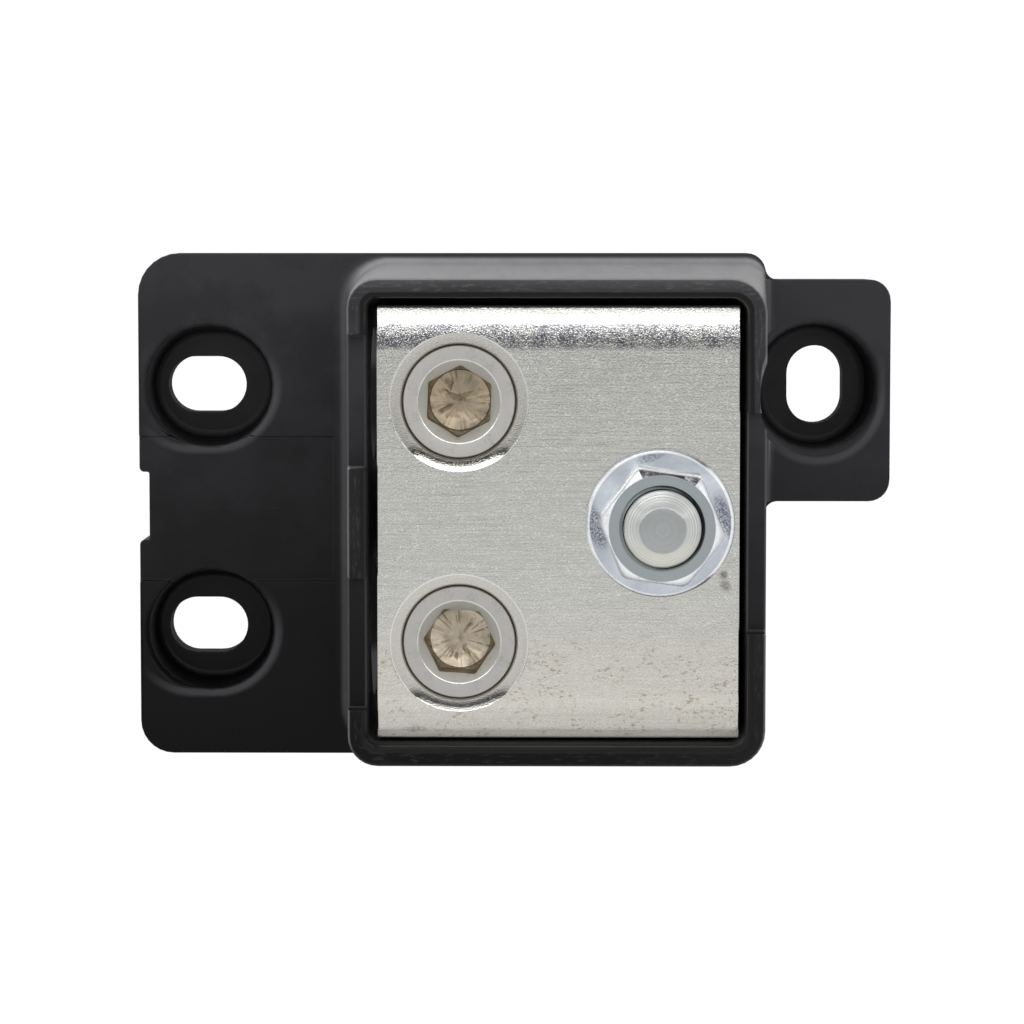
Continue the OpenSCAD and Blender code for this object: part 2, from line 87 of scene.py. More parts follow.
# %% A socket that can be added and multiplied
class Value:
    def __init__(self, tree, socket=None):
        self.tree = tree
        self.socket = socket

    def node(self, kind, settings=None, inputs=None, out=0):
        made = self.tree.nodes.new(kind)
        for key, value in (settings or {}).items():
            if key == "stops":
                ramp = made.color_ramp
                while len(ramp.elements) < len(value):
                    ramp.elements.new(0.5)
                for element, (place, colour) in zip(ramp.elements, value):
                    element.position = place
                    element.color = (*colour, 1)
            else:
                setattr(made, key, value)
        for key, value in (inputs or {}).items():
            if isinstance(value, Value):
                self.tree.links.new(value.socket, made.inputs[key])
            else:
                made.inputs[key].default_value = value
        return Value(self.tree, made.outputs[out] if made.outputs else None)

    def math(self, operation, *values, clamp=False):
        return self.node("ShaderNodeMath", {"operation": operation, "use_clamp": clamp},
                         dict(enumerate(values)))

    def __add__(self, other):
        return self.math("ADD", self, other)

    def __sub__(self, other):
        return self.math("SUBTRACT", self, other)

    def __rsub__(self, other):
        return self.math("SUBTRACT", other, self)

    def __mul__(self, other):
        return self.math("MULTIPLY", self, other)

    def __truediv__(self, other):
        return self.math("DIVIDE", self, other)

    __radd__ = __add__
    __rmul__ = __mul__

    def above(self, low, high):
        """0 below low, 1 above high, and a smooth step between them."""
        return self.node("ShaderNodeMapRange", {"interpolation_type": "SMOOTHSTEP"},
                         {"Value": self, "From Min": low, "From Max": high})

    def mix(self, a, b):
        """Colour a where this value is 0, b where it is 1."""
        return self.node("ShaderNodeMix", {"data_type": "RGBA"},
                         {"Factor": self, 6: a, 7: b}, out=2)

    def times(self, scale):
        """A vector scaled on each axis."""
        return self.node("ShaderNodeVectorMath", {"operation": "MULTIPLY"}, {0: self, 1: scale})

    def moved(self, shift):
        """A vector with another one added."""
        return self.node("ShaderNodeVectorMath", {"operation": "ADD"}, {0: self, 1: shift})

    def noise(self, scale, detail=2.0, roughness=0.5):
        return self.node("ShaderNodeTexNoise", {},
                         {"Vector": self, "Scale": scale, "Detail": detail, "Roughness": roughness})

    def axis(self, index):
        return self.node("ShaderNodeSeparateXYZ", {}, {0: self}, out=index)

    def length(self):
        return self.node("ShaderNodeVectorMath", {"operation": "LENGTH"}, {0: self}, out=1)

    def from_point(self, *point):
        return self.node("ShaderNodeVectorMath", {"operation": "SUBTRACT"}, {0: self, 1: point})

    def near(self, point, stretch):
        """1 round a point in mm, fading to 0 where the stretched distance to it is 1."""
        away = self.from_point(*point).times(stretch).length()
        return 1 - away.above(0.45, 1.0)

    def stroke(self, start, end, width):
        """1 on a line from start to end in mm, fading to 0 at half the width beside it."""
        middle = ((start[0] + end[0]) / 2, (start[1] + end[1]) / 2, 0)
        angle = math.atan2(end[1] - start[1], end[0] - start[0])
        turned_back = self.node("ShaderNodeVectorRotate", {"rotation_type": "Z_AXIS"},
                                {"Vector": self, "Center": middle, "Angle": -angle})
        reach = math.dist(start, end) / 2
        away = turned_back.from_point(*middle).times((1 / reach, 2 / width, 0)).length()
        return 1 - away.above(0.3, 1.0)


def rgb(r, g, b):
    return (r, g, b, 1)


print("operators:", [name for name in vars(Value) if name.startswith("__")][1:])

# %% [markdown]
# Each finish starts the same way: a Principled shader with its constants set on its own sockets, and the
# place on the object in millimetres, so that the scale of a grain can be written as a real size.

# %% The start of a finish
def finish(name, **constants):
    made = bpy.data.materials.new(name)
    made.use_nodes = True
    shader = made.node_tree.nodes["Principled BSDF"]
    for key, value in constants.items():
        shader.inputs[key.replace("_", " ")].default_value = value
    start = Value(made.node_tree)
    place = start.node("ShaderNodeTexCoord", out=3).times((1 / MM,) * 3)
    return made, shader, place


def size_of(value):
    return value.math("ABSOLUTE", value)


def feed(shader, **values):
    for key, value in values.items():
        value.tree.links.new(value.socket, shader.inputs[key.replace("_", " ")])


def bump(height, strength, distance):
    return height.node("ShaderNodeBump", {}, {"Height": height, "Strength": strength,
                                              "Distance": distance * MM})


print("finish() and feed() are ready")

# %% [markdown]
# ## Charcoal moulding
# The base is a filled moulding compound. It is nearly black, with a very fine pitted grain and pale scuffs on the
# rim where it was handled. Its colour also carries painted light: a sheen that grows towards the back in clouds,
# lit outer walls, shade in the dishes and under the rim, and highlights on the dish mouths and the rim.

# %% Moulding
def moulding():
    made, shader, place = finish("charcoal_moulding", Specular_IOR_Level=0.15)
    x, y, z = (place.axis(i) for i in range(3))
    cloud = place.noise(0.1, 4, 0.6)
    grain = place.noise(7, 3, 0.7)
    across = (y + 33) * (1 / 66)
    # Painted sheen: the colour grows lighter towards the back, where the light comes from, and towards the right.
    # Clouds of random tone break it up.
    painted_sheen_and_clouds = across * (across * 0.6 + 0.45) * (0.8 + cloud.above(0.35, 0.65) * 0.4) + x.above(5, 38) * 0.18
    black, grey = rgb(0.003, 0.003, 0.003), rgb(0.048, 0.047, 0.053)
    plain = painted_sheen_and_clouds.math("MINIMUM", painted_sheen_and_clouds, 1.0).mix(black, grey)

    facing = place.node("ShaderNodeNewGeometry", out=1)
    level = size_of(facing.axis(2)).above(0.98, 0.999)
    away_from_middle = facing.axis(0) * (x - 3.5) + facing.axis(1) * y
    outward, inward = away_from_middle.above(4, 12), 1 - away_from_middle.above(-12, -4)
    # Painted light on the outer walls: lighter where a wall faces the back, where the light comes from, and on the
    # sides. A painted highlight runs just under the rim's top on the walls that do not face the front.
    wall = outward * z.above(11.02, 11.3) * (1 - z.above(43.85, 44.0)) * (1 - level)
    drag = place.times((0.3, 0.3, 0.03)).noise(1.4, 6, 0.7)
    edge = z.above(43.2, 43.6) * facing.axis(1).above(-0.5, 0) * 0.25
    sunward = facing.axis(1).above(0.1, 0.75) * (1.1 - x.above(-30, 10) * 0.22)
    lit = 0.07 + size_of(facing.axis(0)) * 0.16 + sunward + edge
    painted_wall_light = wall * lit * (0.6 + drag * 0.6)
    # A fainter painted light on the pocket's inner walls keeps the gap round the lug from going fully black.
    pocket = inward * z.above(15, 16) * (1 - z.above(42, 43)) * (1 - level) * 0.4
    both = painted_wall_light + pocket
    with_painted_wall_light = both.math("MINIMUM", both, 1.0).mix(plain, rgb(0.36, 0.355, 0.365))

    right_side, upper = x.above(-0.1, 0.1), y.above(-0.6, -0.4)
    from_x, from_y = x - right_side * 81.8 + 41.4, y - 15.8 + (1 - upper) * (1 - right_side) * 32.6
    long_x, long_y = size_of(from_x) - 1.5 * (1 - right_side), size_of(from_y) - 1.5 * right_side
    to_slot = place.node("ShaderNodeCombineXYZ", {}, {0: long_x.math("MAXIMUM", long_x, 0.0),
                                                      1: long_y.math("MAXIMUM", long_y, 0.0)}).length()
    faces_slot = 1 - (facing.axis(0) * from_x + facing.axis(1) * from_y).above(-1, 0)
    # Painted shade in the dishes round the slots: the walls that face the slot, and the floors, are darkened
    # towards black.
    painted_dish_wall_shade = (1 - to_slot.above(9.6, 9.8)) * faces_slot * z.above(4.6, 5.4) * (1 - z.above(9.5, 10.9))
    painted_dish_floor_shade = (1 - to_slot.above(8, 8.5)) * (1 - z.above(4.6, 5.0)) * 0.35
    with_painted_dish_shade = (painted_dish_wall_shade * (1 - level) * 0.8 + painted_dish_floor_shade).mix(with_painted_wall_light, black)
    # A painted highlight on the lower and right lip of each dish mouth.
    mouth_painted_highlight = to_slot.above(7.7, 8.2) * (1 - to_slot.above(8.5, 9.3)) * z.above(10, 10.6) * (1 - z.above(11.1, 11.3))
    towards_light = (from_x * 0.6 - from_y).above(-1, 9)
    with_painted_lip_highlight = (mouth_painted_highlight * towards_light * 0.3).mix(with_painted_dish_shade, rgb(0.2, 0.195, 0.215))

    high = z.above(42.6, 43.6)
    far = size_of(y).above(26.5, 28)
    ends = place.times((2.0, 0.4, 1)).noise(1.3, 7, 0.75)
    sides = place.times((0.4, 2.0, 1)).noise(1.3, 7, 0.75)
    rubbed = ends * (1 - far) + sides * far
    scuffs = rubbed.above(0.5, 0.7) * high * (0.25 + across * 0.75)
    back_rim = high * y.above(27.5, 28) * (y.above(28.6, 30.4) * 0.25 + 0.02)
    # A painted highlight along the edge where the ear's dish cuts through the rim.
    scoop_painted_highlight = to_slot.above(9.15, 9.3) * (1 - to_slot.above(9.45, 9.7)) * z.above(43, 43.6)
    # Real scuffs mixed with the painted scoop highlight. The back of the rim grows paler towards its outer edge.
    scuffs_and_highlights = scuffs * 0.4 + scoop_painted_highlight + back_rim
    worn_and_painted_highlights = scuffs_and_highlights.math("MINIMUM", scuffs_and_highlights, 1.0).mix(with_painted_lip_highlight, rgb(0.22, 0.22, 0.22))
    # Painted shade on the pocket's inner walls just under the rim.
    with_painted_pocket_shade = (inward * z.above(38, 43) * (1 - level)).mix(worn_and_painted_highlights, rgb(0.012, 0.012, 0.012))
    rough = 0.24 + cloud * 0.1 + grain * 0.08
    feed(shader, Base_Color=with_painted_pocket_shade, Roughness=rough, Normal=bump(grain, 0.25, 0.06))
    return made


charcoal = moulding()
print("made", charcoal.name)

# %% [markdown]
# ## Tin-plated aluminium
# The lug is cut from an extruded bar. Its face has fine lines along the extrusion and a bright speckle where
# the plating has etched, so the normal wobbles at two scales: long thin lines, and specks of a tenth of a
# millimetre.

# %% Lug
def tinned():
    made, shader, place = finish("tinned_aluminium", Metallic=1.0)
    curls = place.times((1.1, 1.5, 1.3)).noise(1.5, 2, 0.5)
    strokes = 1 - size_of(curls - 0.5).above(0.006, 0.04)
    patchy = place.noise(0.8, 3, 0.6).above(0.42, 0.6)
    lines = place.times((0.12, 4.5, 4.5)).noise(1.0, 2, 0.5)
    specks = place.noise(5, 3, 0.8)
    grains = place.noise(5.5, 1, 0.5)
    cloud = place.noise(0.12, 4, 0.6)
    shade = strokes * (0.3 + patchy * 0.5) + lines.above(0.3, 0.7) * 0.22 + specks.above(0.38, 0.66) * 0.6
    drawn = place.times((0.07, 6, 1)).noise(1.0, 3, 0.6).above(0.52, 0.68) * cloud.above(0.4, 0.56)
    body = (drawn * 0.5).mix(shade.mix(rgb(0.61, 0.61, 0.575), rgb(0.99, 0.99, 0.95)), rgb(0.42, 0.42, 0.38))

    y = place.axis(1)
    band = y.above(21.2, 22.0) * (1 - y.above(24.4, 24.9))
    # A painted dark reflection: dark bluish specks in the band just below the shoulder, where it would mirror the
    # dark between the lamps.
    reflection_noise = place.noise(6, 2, 0.7)
    dark_reflection_specks = (reflection_noise * 0.7 + place.noise(0.6, 3, 0.6) * 0.3).above(0.49, 0.53) * band
    with_painted_dark_reflection = (dark_reflection_specks * 0.85).mix(body, rgb(0.12, 0.13, 0.2))
    low = 1 - y.above(-20, -8)
    flecks = place.times((1, 1.6, 1)).noise(1.6, 4, 0.7).above(0.54, 0.62)
    brown = flecks * place.noise(0.3, 3, 0.6).above(0.46, 0.56) * low
    warm = (low * 0.45 + cloud * 0.12).mix(with_painted_dark_reflection, rgb(0.88, 0.84, 0.73))
    stained = (brown * 0.65).mix(warm, rgb(0.38, 0.3, 0.19))
    broken = place.noise(2.4, 5, 0.8).above(0.4, 0.58)
    scuff = place.near((-12.1, -26.1, 39.8), (0.42, 1.6, 0.7)) * broken
    flat = place.times((1, 1, 0))
    nick = flat.stroke((26.9, -6.0), (26.1, -7.3), 1.4) + flat.stroke((25.8, -7.3), (27.6, -8.6), 1.7)
    marks = scuff + nick * (0.3 + broken * 0.7)
    colour = (marks * 0.75).mix(stained, rgb(0.12, 0.1, 0.08))

    height = lines * 0.1 + grains * (0.8 + band * 0.4) + strokes * 0.2
    front_edge = 1 - y.above(-26.7, -25.8)
    feed(shader, Base_Color=colour, Metallic=1 - front_edge * 0.9, Roughness=0.1 + specks * 0.12,
         Normal=bump(height, 0.3, 0.05))
    return made


tin = tinned()

# %% [markdown]
# ## Cut metal
# Turned and countersunk faces carry fine rings round their axis. The rings come from a noise over the distance
# to the axis, so they need to know where that axis stands.

# %% Rings, sockets and zinc
def rings_finish(name, colour, other, rough, ring_scale=4.0, strength=0.5, cream=0.0):
    made, shader, place = finish(name, Metallic=1.0)
    rings = place.times((1, 1, 0)).length().noise(ring_scale, 4, 0.7)
    drawn = place.times((0.35, 0.35, 0)).noise(1, 3, 0.6)
    specks = place.noise(4.5, 4, 0.75)
    tint = (rings.above(0.35, 0.65) * (0.3 + drawn * 0.7) + specks * 0.2).mix(colour, other)
    warmer = ((1 - place.axis(1).above(-3.5, 0)) * cream).mix(tint, rgb(0.78, 0.77, 0.66))
    feed(shader, Base_Color=warmer, Roughness=rough + specks * 0.15,
         Normal=bump(rings * 0.8 + specks * 0.3, strength, 0.03))
    return made


def countersink(wells):
    """A shallow hollow cut round each well: it is level at the screw and steeper towards its outer edge."""
    made, shader, place = finish("countersink", Metallic=1.0)
    (x, low), (_, high) = sorted(wells, key=lambda well: well[1])
    centre_y = place.axis(1).above(-0.01, 0.01) * (high - low) + low
    local_x, local_y = place.axis(0) - x, place.axis(1) - centre_y
    flat = place.node("ShaderNodeCombineXYZ", {}, {0: local_x, 1: local_y})
    away = flat.length()
    rings = away.noise(2.5, 2, 0.5)
    specks = place.noise(6, 1, 0.5)
    below = (local_y / away * -1).above(0.62, 0.86)
    rise = ((away - 7.2) * 0.155 + 0.01) * (below * 0.8 + 0.2) + (rings - 0.5) * 0.08 + away.above(8.8, 8.9) * 0.6
    steep = rise / away
    hollow = place.node("ShaderNodeCombineXYZ", {}, {0: local_x * steep * -1, 1: local_y * steep * -1, 2: 1.0})
    normal = place.node("ShaderNodeVectorMath", {"operation": "NORMALIZE"}, {0: hollow})
    tint = (specks.above(0.4, 0.65) * 0.6 + rings * 0.3).mix(rgb(0.76, 0.75, 0.69), rgb(0.62, 0.61, 0.57))
    # A painted highlight: a thin white line round the outer edge of each countersink.
    rim_painted_highlight = away.above(8.5, 8.6) * (1 - away.above(8.66, 8.74))
    with_painted_rim_highlight = (rim_painted_highlight * 0.7).mix(tint, rgb(1, 1, 1))
    grooved = ((1 - away.above(7.28, 7.45)) * 0.85).mix(with_painted_rim_highlight, rgb(0.2, 0.15, 0.1))
    fine = specks.node("ShaderNodeBump", {}, {"Height": specks, "Strength": 0.25, "Distance": 0.05 * MM,
                                              "Normal": normal})
    feed(shader, Base_Color=grooved, Roughness=0.05 + specks * 0.07, Normal=fine)
    return made


def speckled(name, colour, dark, rough, low=0.5, high=0.68, strength=0.35, grain=3.0):
    made, shader, place = finish(name, Metallic=1.0)
    patches = place.noise(0.55, 4, 0.7)
    specks = place.noise(grain, 6, 0.85)
    mask = (specks * 0.6 + patches * 0.4).above(low, high)
    feed(shader, Base_Color=mask.mix(colour, dark), Roughness=rough + specks * 0.2,
         Normal=bump(specks, strength, 0.05))
    return made


def bronze_floor(name, light, dark, marks, creased):
    """The round floor of a socket: smooth lumps, short radial creases near its edge and a few long marks."""
    made, shader, place = finish(name, Metallic=0.85)
    flat = place.times((1, 1, 0))
    around = flat.node("ShaderNodeVectorMath", {"operation": "NORMALIZE"}, {0: flat})
    away = flat.length()
    petals = around.noise(4.2, 4, 0.7)
    broken = place.noise(0.9, 2, 0.5).above(0.42, 0.52)
    crease = petals.above(0.5, 0.57) * away.above(creased, creased + 1.0) * broken
    wavy = place.noise(0.8, 3, 0.6)
    bent = place.moved(place.node("ShaderNodeCombineXYZ", {}, {0: (wavy - 0.5) * 1.4, 1: (wavy - 0.5) * 1.1}))
    long_marks = None
    for start, end, width in marks:
        one = bent.stroke(start, end, width)
        long_marks = one if long_marks is None else long_marks.math("MAXIMUM", long_marks, one)
    lumps = place.noise(0.3, 2, 0.5)
    gold = (lumps.above(0.3, 0.7) * 0.7 + place.noise(3, 4, 0.7) * 0.3).mix(light, dark)
    marked = (crease * 0.7 + long_marks * 0.6).mix(gold, rgb(0.24, 0.16, 0.08))
    feed(shader, Base_Color=marked, Roughness=0.32 + petals * 0.1,
         Normal=bump(lumps * 2.2 + petals * 0.25 - long_marks * 0.2, 0.7, 0.5))
    return made


screw_grey = speckled("screw_satin", rgb(0.68, 0.67, 0.64), rgb(0.46, 0.44, 0.4), 0.27, 0.5, 0.66, 0.4, 4.0)
socket_grey = speckled("socket_smooth", rgb(0.56, 0.545, 0.49), rgb(0.4, 0.37, 0.31), 0.42, 0.5, 0.7, 0.15)
socket_brown = speckled("socket_corner", rgb(0.36, 0.31, 0.22), rgb(0.16, 0.12, 0.07), 0.45, 0.45, 0.65, 0.2)
# A painted highlight: a near-white copy of the metal for the ring round the socket's lip.
socket_lip_highlight = speckled("socket_lip_painted_highlight", rgb(0.95, 0.94, 0.92), rgb(0.6, 0.58, 0.52), 0.15, 0.5, 0.7, 0.2)
floor_upper = bronze_floor("bronze_floor_upper", rgb(0.74, 0.6, 0.42), rgb(0.38, 0.34, 0.27),
                           [((-3.6, 1.4), (2.0, -0.4), 0.9), ((-1.7, 3.4), (-1.2, 0.7), 0.9),
                            ((-3.0, -2.0), (-0.3, -0.3), 0.8), ((-0.3, 0.3), (1.8, 1.1), 0.7)], 2.0)
floor_lower = bronze_floor("bronze_floor_lower", rgb(0.98, 0.86, 0.68), rgb(0.5, 0.44, 0.34),
                           [((-0.2, -3.2), (0.1, -0.6), 0.8), ((0.4, 0.3), (2.9, 1.2), 0.6)], 1.1)
zinc = speckled("zinc_blue", rgb(0.68, 0.73, 0.79), rgb(0.12, 0.14, 0.17), 0.17, 0.54, 0.66)
def zinc_flanged():
    """The zinc of the nut, with dark speckled patches at three places on its flange."""
    made, shader, place = finish("zinc_flanged", Metallic=1.0)
    flat = place.times((1, 1, 0))
    patches = flat.near((-7.6, 2.9, 0), (0.62, 0.25, 1)) + flat.near((7.8, -2.4, 0), (0.8, 0.25, 1))
    patches = patches + flat.near((2.2, 8.2, 0), (0.4, 1.3, 1)) * 0.7
    dark_patches = patches * place.noise(4, 6, 0.85).above(0.42, 0.54)
    specks = place.noise(3, 6, 0.85)
    drift = place.noise(0.3, 3, 0.6)
    clean = (specks.above(0.5, 0.7) * 0.4 + drift.above(0.35, 0.65) * 0.5).mix(rgb(0.7, 0.75, 0.81), rgb(0.52, 0.56, 0.62))
    feed(shader, Base_Color=(dark_patches * 0.8).mix(clean, rgb(0.06, 0.065, 0.1)), Roughness=0.15 + specks * 0.15,
         Normal=bump(specks, 0.3, 0.05))
    return made


zinc_flange = zinc_flanged()
# Lit and shaded copies of the zinc: one carries a painted highlight, the other a painted shade.
zinc_painted_highlight = speckled("zinc_painted_highlight", rgb(0.93, 0.95, 0.97), rgb(0.5, 0.55, 0.6), 0.14, 0.5, 0.7, 0.2)
zinc_painted_shade = speckled("zinc_painted_shade_facet", rgb(0.6, 0.63, 0.68), rgb(0.05, 0.045, 0.055), 0.2, 0.44, 0.52, 0.5, 4.0)
zinc_top = rings_finish("zinc_top", rgb(0.6, 0.65, 0.67), rgb(0.4, 0.45, 0.47), 0.22, strength=0.4)
stud_zinc = rings_finish("stud_zinc", rgb(0.82, 0.84, 0.83), rgb(0.42, 0.43, 0.41), 0.16, 3.2, 1.2, 0.5)
stud_tip = rings_finish("stud_tip", rgb(0.62, 0.64, 0.64), rgb(0.5, 0.52, 0.52), 0.25, 2.2, 0.3)
plain_zinc = speckled("plain_zinc", rgb(0.55, 0.58, 0.6), rgb(0.25, 0.26, 0.27), 0.25)
spring = speckled("spring_steel", rgb(0.4, 0.4, 0.41), rgb(0.2, 0.2, 0.2), 0.3)
print("metals:", ", ".join(one.name for one in (screw_grey, socket_grey, floor_upper, zinc, zinc_top)))

# %% [markdown]
# ## Softer edges on the two large pieces
# The solids have knife edges. A copy of each mesh is merged into large faces, and the sharp edges get a small
# rounding that catches the light. The copy stands for its node.

# %% Dressed copies
def dressed(node, name, width, sharp, materials, leave=()):
    mesh = bmesh.new()
    mesh.from_mesh(nodes[node].data)
    bmesh.ops.remove_doubles(mesh, verts=mesh.verts, dist=0.0005 * MM)
    free = [e for e in mesh.edges if not any(beside(e) for beside in leave)]
    bmesh.ops.dissolve_limit(mesh, angle_limit=math.radians(0.6), verts=list({v for e in free for v in e.verts}),
                             edges=free)
    edges = [e for e in mesh.edges if len(e.link_faces) == 2 and abs(e.calc_face_angle(0)) > math.radians(sharp)
             and not any(beside(e) for beside in leave)]
    bmesh.ops.bevel(mesh, geom=edges, offset=width * MM, offset_type="OFFSET", segments=2, profile=0.5,
                    affect="EDGES", clamp_overlap=False)
    for face in mesh.faces:
        face.smooth = True
    data = bpy.data.meshes.new(name)
    mesh.to_mesh(data)
    mesh.free()
    data.set_sharp_from_angle(angle=math.radians(28))
    for one in materials:
        data.materials.append(one)
    piece = bpy.data.objects.new(name, data)
    bpy.context.scene.collection.objects.link(piece)
    weighted = piece.modifiers.new("flat_faces_stay_flat", "WEIGHTED_NORMAL")
    weighted.keep_sharp = True
    return piece


def by_the_driver_scoop(edge):
    middle = (edge.verts[0].co + edge.verts[1].co) / 2 / MM
    return math.hypot(middle.x - 40, middle.y - 15.8) < 11.5 and middle.z > 4


def at_the_ear_root(edge):
    middle = (edge.verts[0].co + edge.verts[1].co) / 2 / MM
    return 9 < middle.z < 14 and any(math.hypot(middle.x - 34, middle.y - y) < 4 for y in (30.6, 0.6))


housing = dressed("base_housing", "housing", 0.25, 40, [charcoal], [by_the_driver_scoop, at_the_ear_root])
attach(housing, "block")
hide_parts("base_housing")


def screw_axis(node):
    low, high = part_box(node)
    return (low.x + high.x) / 2 / MM, (low.y + high.y) / 2 / MM


wells = [screw_axis("wire_screw_upper"), screw_axis("wire_screw_lower")]
cut_metal = countersink(wells)
lug = dressed("terminal_lug", "lug", 0.12, 40, [tin, cut_metal])
lug_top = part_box("terminal_lug")[1].z / MM
for face in lug.data.polygons:
    middle = face.center / MM
    for x, y in wells:
        if math.hypot(middle.x - x, middle.y - y) < 9 and middle.z < lug_top + 1 and face.normal.z < 0.95:
            if middle.z > lug_top - 1.7:
                face.material_index = 1
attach(lug, "block")
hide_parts("terminal_lug")
print("faces:", len(housing.data.polygons), len(lug.data.polygons))

# %% [markdown]
# ## Turned pieces
# Screws, studs and nuts are round with exceptions: a thread winds round them and a hexagon is cut in or on
# them. One builder makes them all. It sweeps rows of points round an axis, and the radius and the height of
# each row may depend on the angle.

# %% A lathe with a say in every angle
def turned(name, rows, at, steps=120, turn=0.0, materials=(), tube=False):
    """rows: (radius, height, material) in mm, where radius and height are numbers or functions of the angle."""
    mesh = bmesh.new()
    rings = []
    for radius, height, _ in rows:
        ring = []
        for i in range(steps):
            angle = 2 * math.pi * i / steps
            r = radius(angle) if callable(radius) else radius
            z = height(angle) if callable(height) else height
            ring.append(mesh.verts.new((r * math.cos(angle) * MM, r * math.sin(angle) * MM, z * MM)))
        rings.append(ring)
    joins = list(zip(rings, rings[1:], [row[2] for row in rows[1:]]))
    if tube:
        joins.append((rings[-1], rings[0], rows[0][2]))
    else:
        for ring, row in ((rings[0], rows[0]), (rings[-1], rows[-1])):
            centre = mesh.verts.new(sum((v.co for v in ring), Vector()) / steps)
            pairs = zip(ring, ring[1:] + ring[:1])
            for a, b in pairs:
                face = mesh.faces.new((centre, a, b) if ring is rings[-1] else (centre, b, a))
                face.material_index = row[2]
    for low, high, material in joins:
        for i in range(steps):
            j = (i + 1) % steps
            face = mesh.faces.new((low[i], low[j], high[j], high[i]))
            face.material_index = material
    for face in mesh.faces:
        face.smooth = True
    data = bpy.data.meshes.new(name)
    mesh.to_mesh(data)
    mesh.free()
    data.set_sharp_from_angle(angle=math.radians(30))
    for one in materials:
        data.materials.append(one)
    piece = bpy.data.objects.new(name, data)
    piece.location = at
    piece.rotation_euler = (0, 0, turn)
    bpy.context.scene.collection.objects.link(piece)
    return piece


def hexagon(across, cap=0.985):
    """The radius of a hexagon at an angle, for a width across its flats in mm, with eased corners."""
    corner = across / 2 / math.cos(math.pi / 6)

    def radius(angle):
        local = (angle + math.pi / 6) % (math.pi / 3) - math.pi / 6
        return min(across / 2 / math.cos(local), corner * cap)
    return radius


def thread(radius, pitch, low, high, depth=None, material=0, rows_per_turn=8, fade=1.0):
    """Rows of a right-handed thread from low to high, fading out at both ends."""
    depth = depth or 0.55 * pitch
    count = int((high - low) / pitch * rows_per_turn)

    def row(z):
        runout = min(1, (z - low) / (fade * pitch), (high - z) / (fade * pitch))

        def at_angle(angle):
            phase = (z / pitch - angle / (2 * math.pi)) % 1
            tooth = min(1, max(0, abs(phase - 0.5) * 2.6 - 0.15))
            return radius - depth * (1 - tooth) * max(0, runout)
        return at_angle
    heights = [low + (high - low) * i / count for i in range(count + 1)]
    return [(row(z), z, material) for z in heights]


def axis_of(node):
    """Centre of a round node, with its lowest point, and its radius and height in mm."""
    low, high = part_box(node)
    at = Vector(((low.x + high.x) / 2, (low.y + high.y) / 2, low.z))
    return at, (high.x - low.x) / 2 / MM, (high.z - low.z) / MM


print("turned(), hexagon() and thread() are ready")

# %% [markdown]
# ## Wire screws
# A socket set screw with a fine thread. The socket has a dished lead-in: a cone that meets the six flats in
# curved edges. Its floor is round and golden, where the plating pooled.

# %% Wire screws
def wire_screw(node, body, turn, floor_finish):
    at, radius, height = axis_of(node)
    key = hexagon(7.94)
    lead = 5.2
    depth = 5.6

    def lead_edge(angle):
        return height - (lead - key(angle)) / 1.35
    rows = [(2.2, 0.7, 0), (5.3, 0.0, 0), (5.8, 0.1, 0), (6.3, 0.6, 0)]
    rows += thread(radius, 1.41, 0.9, height - 0.5, 0.55)

    def disc(angle):
        return min(key(angle) - 0.02, 3.93)
    # The thin ring at the socket's lip takes the painted highlight, material 4.
    rows += [(radius - 0.05, height - 0.3, 0), (radius - 0.1, height - 0.12, 0), (radius - 0.22, height, 0),
             (lead + 0.12, height, 0), (lead - 0.05, height - 0.032, 4), (key, lead_edge, 1), (key, height - depth + 0.6, 3),
             (disc, height - depth + 0.55, 3), (lambda a: disc(a) - 0.15, height - depth + 0.3, 2),
             (2.8, height - depth + 0.05, 2), (1.6, height - depth, 2), (0.4, height - depth + 0.05, 2)]
    piece = turned(node + "_turned", rows, at, turn=math.radians(turn),
                   materials=[screw_grey, socket_grey, floor_finish, socket_brown, socket_lip_highlight])
    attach(piece, body)
    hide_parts(node)
    return piece


wire_screw("wire_screw_upper", "upper_screw", -2, floor_upper)
wire_screw("wire_screw_lower", "lower_screw", 26, floor_lower)
print("two wire screws")

# %% [markdown]
# ## Stud and flange nut
# The stud ends in a chamfer with turned rings and a small flat. The nut is one piece with its flange: a hexagon
# that grows out of a shallow cone, and a chamfer on top that cuts its corners in curves.

# %% Stud and nut
def stud():
    at, radius, height = axis_of("fuse_stud")
    rows = [(3.6, 0.0, 0), (4.2, 0.6, 0)] + thread(radius, 1.59, 0.8, height - 1.6, 0.6)
    rows += [(radius - 0.05, height - 1.5, 0), (radius - 0.25, height - 1.3, 0), (3.1, height - 0.22, 0),
             (2.85, height - 0.04, 0), (2.65, height, 1), (0.5, height, 1)]
    piece = turned("fuse_stud_turned", rows, at, materials=[stud_zinc, stud_tip])
    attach(piece, "block")
    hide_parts("fuse_stud")


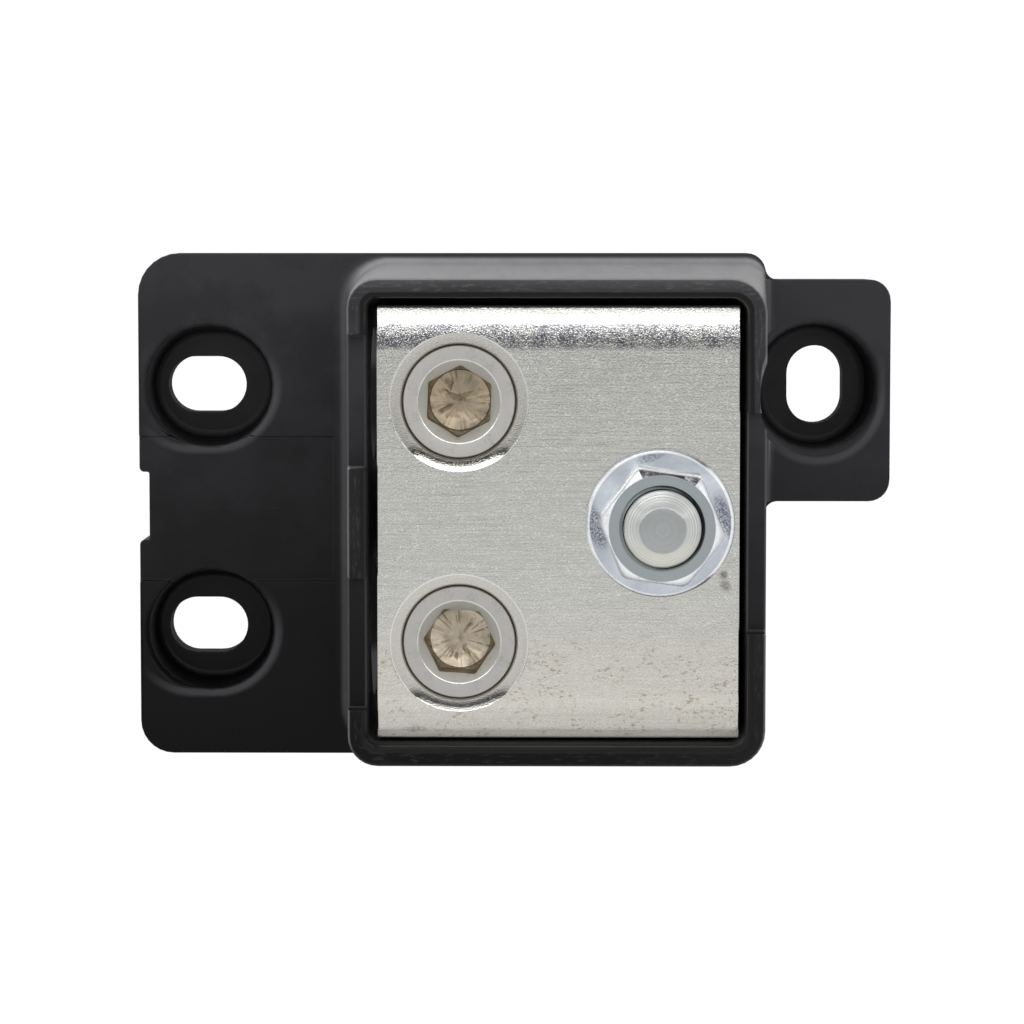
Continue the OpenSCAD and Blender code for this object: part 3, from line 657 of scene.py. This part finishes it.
def nut():
    at, radius, height = axis_of("flange_nut")
    hexa = hexagon(13.95, 0.985)
    crown = hexagon(13.6, 0.98)
    chamfer = 6.55

    def foot(angle):
        return 1.45 + (radius - 0.25 - hexa(angle)) * 0.5

    def shoulder(angle):
        return height - (crown(angle) - chamfer) * 0.7
    bore = 4.86
    # The flange's rounded edge, the hexagon's flanks and the top chamfer take the painted highlight, material 2.
    rows = [(bore + 0.5, 0.0, 0), (radius - 0.35, 0.0, 0), (radius, 0.3, 0), (radius, 0.85, 0),
            (radius - 0.16, 1.12, 2), (radius - 0.5, 1.32, 2), (hexa, foot, 0), (crown, lambda a: shoulder(a) - 0.12, 2),
            (lambda a: crown(a) - 0.08, lambda a: shoulder(a) + 0.02, 2), (chamfer, height, 3),
            (5.3, height, 1), (bore, height - 0.45, 1), (bore, 0.4, 1)]
    piece = turned("flange_nut_turned", rows, at, turn=math.radians(22),
                   materials=[zinc_flange, zinc_top, zinc_painted_highlight, zinc_painted_shade], tube=True)
    # The chamfer facet that faces the back keeps the painted shade, and the other facets take the painted
    # highlight.
    for face in piece.data.polygons:
        angle = math.degrees(math.atan2(face.center.y, face.center.x)) + 22
        if face.material_index == 3 and abs(angle % 360 - 82) > 30:
            face.material_index = 2
    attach(piece, "nut")
    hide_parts("flange_nut")


stud()
nut()
for name in ("lug_screw_left", "lug_screw_right", "lock_washer_left", "lock_washer_right"):
    nodes[name].data.materials.clear()
    nodes[name].data.materials.append(plain_zinc if "screw" in name else spring)
print("stud, nut and the hardware under the lug")

# %% [markdown]
# ## Light
# The studio is a white table with a narrow softbox high behind the block and a long strip low behind it. The
# softbox whitens the shoulder of the lug. The world glows softly all round: brighter near the horizon, in a band
# behind, and in a small patch just in front of overhead that greys the lug's flat. The dark gap between that patch
# and the softbox gives the mottled band along the shoulder.

# %% Lights, floor and world
def softbox(name, place, target, size, power):
    lamp = bpy.data.lights.new(name, "AREA")
    lamp.shape = "RECTANGLE"
    lamp.size, lamp.size_y = size
    lamp.energy = power
    made = bpy.data.objects.new(name, lamp)
    made.location = place
    made.rotation_euler = (Vector(target) - Vector(place)).to_track_quat("-Z", "Y").to_euler()
    bpy.context.scene.collection.objects.link(made)
    return made


softbox("softbox_back", (0, 0.248, 0.78), (0, 0, 0.04), (1.1, 0.1), 0.8)
softbox("strip_low", (-0.2, 0.8, 0.14), (0, 0, 0.04), (0.9, 0.1), 0.5)

world = bpy.data.worlds.new("studio")
world.use_nodes = True
bpy.context.scene.world = world
sky = Value(world.node_tree)
toward = sky.node("ShaderNodeTexCoord")
gap = toward.axis(1).above(0.0, 0.04) * (1 - toward.axis(1).above(0.2, 0.235)) * toward.axis(2).above(0.6, 0.8)
front = 1 - toward.from_point(0, -0.19, 0.98).length().above(0.04, 0.17)
behind = toward.axis(1).above(0.33, 0.4) * (1 - toward.axis(1).above(0.5, 0.62))
horizon = 1 - toward.axis(2).above(0.15, 0.5)
level = 0.62 + front * 0.22 + horizon * 0.35 + behind * 0.25 - gap * 0.56
seen = sky.node("ShaderNodeLightPath")
background = world.node_tree.nodes["Background"]
tint = seen.mix(level, rgb(1, 1, 1))
world.node_tree.links.new(tint.socket, background.inputs["Color"])

floor_mesh = bpy.data.meshes.new("floor")
half = 2.0
floor_mesh.from_pydata([(-half, -half, 0), (half, -half, 0), (half, half, 0), (-half, half, 0)], [], [(0, 1, 2, 3)])
floor = bpy.data.objects.new("floor", floor_mesh)
floor.location.z = -0.05 * MM
bpy.context.scene.collection.objects.link(floor)
paper = bpy.data.materials.new("white_paper")
paper.use_nodes = True
tree = paper.node_tree
tree.nodes.clear()
start = Value(tree)
diffuse = start.node("ShaderNodeBsdfDiffuse", {}, {"Color": rgb(0.85, 0.85, 0.85)})
glow = start.node("ShaderNodeEmission", {}, {"Color": rgb(1, 1, 1), "Strength": 1.03})
camera_ray = start.node("ShaderNodeLightPath")
both = start.node("ShaderNodeMixShader", {}, {0: camera_ray, 1: diffuse, 2: glow})
start.node("ShaderNodeOutputMaterial", {}, {0: both})
floor_mesh.materials.append(paper)

bpy.context.scene.view_settings.view_transform = "Standard"
